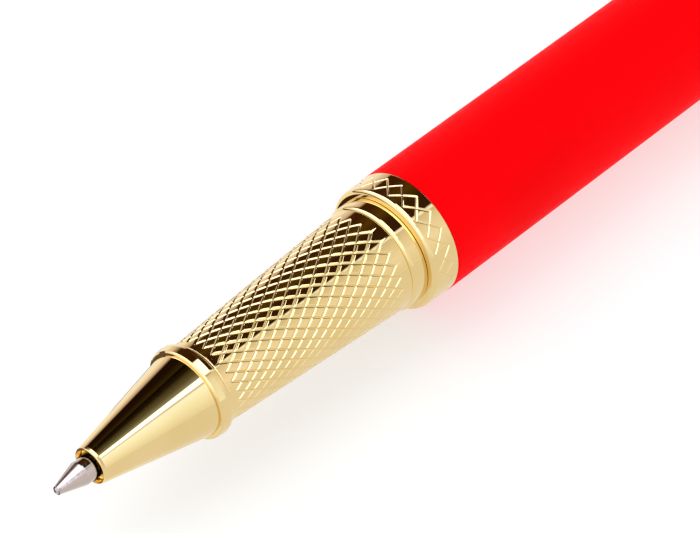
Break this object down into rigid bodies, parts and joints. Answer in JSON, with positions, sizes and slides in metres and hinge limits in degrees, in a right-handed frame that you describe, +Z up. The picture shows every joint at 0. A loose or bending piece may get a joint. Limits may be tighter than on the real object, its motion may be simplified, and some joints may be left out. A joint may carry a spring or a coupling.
{
  "type": "rollerball pen",
  "caption": "Capped rollerball pen with a knurled gold grip, open nose cone, red lacquered barrel, screw-in section and its clip cap posted on the tail.",
  "frame": {"origin": "apex of the writing ball, on the pen's axis", "axes": "+X along the pen from the writing point to the tail, +Z up with the pen lying down; the clip leans to -Y and -Z"},
  "size_m": [0.158, 0.0146, 0.0148],
  "materials": {
    "gold_plate": "polished",
    "red_lacquer": "satin lacquer",
    "nickel_silver": "turned",
    "carbide": "ground",
    "bare_brass": "turned",
    "spring_steel": "drawn wire",
    "black_plastic": "moulded",
    "white_plastic": "moulded",
    "refill_metal": "drawn tube",
    "ink_fibre": "ink-soaked fibre",
    "black_rubber": "moulded"
  },
  "bodies": {
    "barrel": {"barrel_ring": "gold_plate", "barrel_tube": "red_lacquer", "barrel_insert": "bare_brass", "tail_bush": "bare_brass", "tail_ring": "gold_plate", "posting_sleeve": "gold_plate", "tail_finial": "gold_plate", "tail_screw": "spring_steel", "refill_spring": "spring_steel"},
    "refill": {"point_tip": "nickel_silver", "refill_nose": "black_plastic", "refill_wick": "ink_fibre", "refill_tube": "refill_metal", "ink_reservoir": "ink_fibre", "refill_plug": "black_plastic"},
    "writing_ball": {"ball": "carbide"},
    "section": {"nose_cone": "gold_plate", "bead_ring": "gold_plate", "grip_sleeve": "gold_plate", "section_liner": "bare_brass", "section_collar": "gold_plate", "threaded_coupler": "bare_brass", "o_ring": "black_rubber"},
    "cap": {"cap_lip_ring": "gold_plate", "cap_tube": "red_lacquer", "cap_liner": "black_plastic", "inner_cap": "black_plastic", "clip_band": "gold_plate", "cap_finial": "gold_plate", "cap_screw": "spring_steel"},
    "clip": {"clip_arm": "gold_plate"}
  },
  "joints": [
    {"name": "refill_advance", "type": "slide", "parent": "barrel", "child": "refill", "axis": [-1, 0, 0], "range_m": [0, 0.0061], "deforming": ["refill_spring"]},
    {"name": "section_unscrew", "type": "hinge", "parent": "refill", "child": "section", "pos_m": [0.03845, 0, 0], "axis": [-1, 0, 0], "range_deg": [0, 2160]},
    {"name": "ball_roll", "type": "hinge", "parent": "refill", "child": "writing_ball", "pos_m": [0.00035, 0, 0], "axis": [0, 1, 0], "continuous": true},
    {"name": "cap_pull", "type": "slide", "parent": "barrel", "child": "cap", "axis": [1, 0, 0], "range_m": [0, 0.06]},
    {"name": "clip_flex", "type": "hinge", "parent": "cap", "child": "clip", "pos_m": [0.1534, -0.00566, -0.00593], "axis": [0, -0.7234, 0.6904], "range_deg": [0, 4], "stiffness_Nm_per_rad": 2, "springref_deg": -1.72}
  ],
  "couplings": [
    {"joint": "refill_advance", "follows": "section_unscrew", "m_per_rad": 0.00015915}
  ]
}
